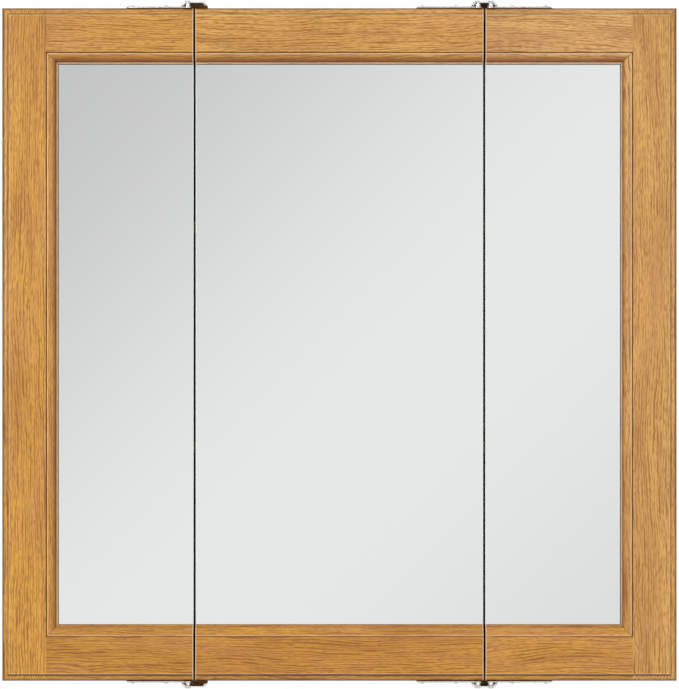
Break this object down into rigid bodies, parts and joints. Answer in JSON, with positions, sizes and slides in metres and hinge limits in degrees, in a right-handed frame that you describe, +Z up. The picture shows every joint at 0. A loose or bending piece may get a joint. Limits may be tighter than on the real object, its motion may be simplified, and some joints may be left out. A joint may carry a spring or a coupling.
{
  "type": "medicine cabinet with mirror",
  "caption": "Shallow wall cabinet with side-by-side mirrored doors in an oak moulding, on pivot hinges, with adjustable shelves inside.",
  "frame": {"origin": "centre of the box's rear face, in the plane of the wall", "axes": "+X to the right seen from the front, +Y from the doors to the wall, +Z up; the doors face -Y"},
  "size_m": [0.762, 0.1207, 0.7768],
  "materials": {
    "oak": "satin honey-stained oak with open grain",
    "box_board": "satin honey-oak laminate on particle board",
    "back_board": "raw brown hardboard",
    "mirror_glass": "silvered glass with polished edges",
    "plated_steel": "bright nickel-plated pressed steel",
    "catch_plastic": "moulded off-white plastic",
    "bumper_rubber": "soft translucent bumper"
  },
  "bodies": {
    "cabinet": {"side_panel_left": "box_board", "side_panel_right": "box_board", "top_panel": "box_board", "bottom_panel": "box_board", "back_panel": "back_board", "hanging_rail": "box_board", "shelf_lower": "box_board", "shelf_upper": "box_board", "shelf_lower_pin_left_front": "plated_steel", "shelf_lower_pin_left_back": "plated_steel", "shelf_lower_pin_right_front": "plated_steel", "shelf_lower_pin_right_back": "plated_steel", "shelf_upper_pin_left_front": "plated_steel", "shelf_upper_pin_left_back": "plated_steel", "shelf_upper_pin_right_front": "plated_steel", "shelf_upper_pin_right_back": "plated_steel", "hinge_bridge_left_top": "plated_steel", "hinge_bridge_left_bottom": "plated_steel", "hinge_bridge_right_top": "plated_steel", "hinge_bridge_right_bottom": "plated_steel", "hinge_bridge_left_top_screw_1": "plated_steel", "hinge_bridge_left_top_screw_2": "plated_steel", "hinge_bridge_left_bottom_screw_1": "plated_steel", "hinge_bridge_left_bottom_screw_2": "plated_steel", "hinge_bridge_right_top_screw_1": "plated_steel", "hinge_bridge_right_top_screw_2": "plated_steel", "hinge_bridge_right_bottom_screw_1": "plated_steel", "hinge_bridge_right_bottom_screw_2": "plated_steel", "left_door_top_pivot": "plated_steel", "left_door_bottom_pivot": "plated_steel", "centre_door_top_pivot": "plated_steel", "centre_door_bottom_pivot": "plated_steel", "right_door_top_pivot": "plated_steel", "right_door_bottom_pivot": "plated_steel", "left_door_catch": "catch_plastic", "centre_door_catch": "catch_plastic", "right_door_catch": "catch_plastic"},
    "left_door": {"left_door_stile": "oak", "left_door_top_rail": "oak", "left_door_bottom_rail": "oak", "left_door_mirror": "mirror_glass", "left_door_backing": "back_board", "left_door_top_strap": "plated_steel", "left_door_bottom_strap": "plated_steel", "left_door_strike": "plated_steel"},
    "centre_door": {"centre_door_top_rail": "oak", "centre_door_bottom_rail": "oak", "centre_door_mirror": "mirror_glass", "centre_door_backing": "back_board", "centre_door_top_strap": "plated_steel", "centre_door_bottom_strap": "plated_steel", "centre_door_strike": "plated_steel"},
    "right_door": {"right_door_stile": "oak", "right_door_top_rail": "oak", "right_door_bottom_rail": "oak", "right_door_mirror": "mirror_glass", "right_door_backing": "back_board", "right_door_top_strap": "plated_steel", "right_door_bottom_strap": "plated_steel", "right_door_strike": "plated_steel"}
  },
  "joints": [
    {"name": "left_door_hinge", "type": "hinge", "parent": "cabinet", "child": "left_door", "pos_m": [-0.1712, -0.11545, 0], "axis": [0, 0, 1], "range_deg": [0, 90]},
    {"name": "centre_door_hinge", "type": "hinge", "parent": "cabinet", "child": "centre_door", "pos_m": [0.15641, -0.11545, 0], "axis": [0, 0, 1], "range_deg": [0, 90]},
    {"name": "right_door_hinge", "type": "hinge", "parent": "cabinet", "child": "right_door", "pos_m": [0.1712, -0.11545, 0], "axis": [0, 0, -1], "range_deg": [0, 90]}
  ]
}
